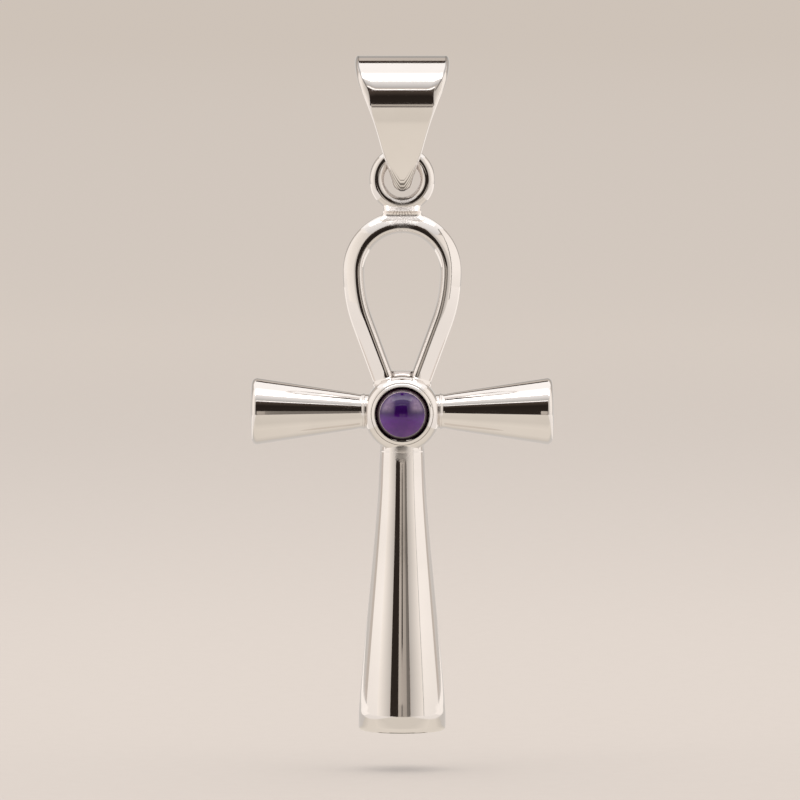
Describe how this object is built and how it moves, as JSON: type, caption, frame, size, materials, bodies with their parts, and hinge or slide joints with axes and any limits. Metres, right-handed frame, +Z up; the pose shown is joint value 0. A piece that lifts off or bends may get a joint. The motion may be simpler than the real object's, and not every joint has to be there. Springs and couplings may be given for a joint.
{
  "type": "ankh pendant",
  "caption": "Polished silver ankh pendant with a looped top, turned flared arms and shaft, a round violet cabochon in a bezel, and a folded bail that a chain runs through.",
  "frame": {"origin": "middle of the bail's inner top, where a chain carries the hanging pendant", "axes": "+Z up, front of the pendant towards -Y, arms along X"},
  "size_m": [0.0224, 0.009, 0.0502],
  "materials": {
    "polished_silver": "mirror polished silver",
    "violet_stone": "polished deep violet cabochon"
  },
  "bodies": {
    "bail": {"bail": "polished_silver"},
    "pendant": {"ankh": "polished_silver", "cabochon": "violet_stone"}
  },
  "joints": [
    {"name": "swing", "type": "hinge", "parent": "bail", "child": "pendant", "pos_m": [0, 0, -0.00716], "axis": [1, 0, 0], "range_deg": [-45, 45]}
  ]
}
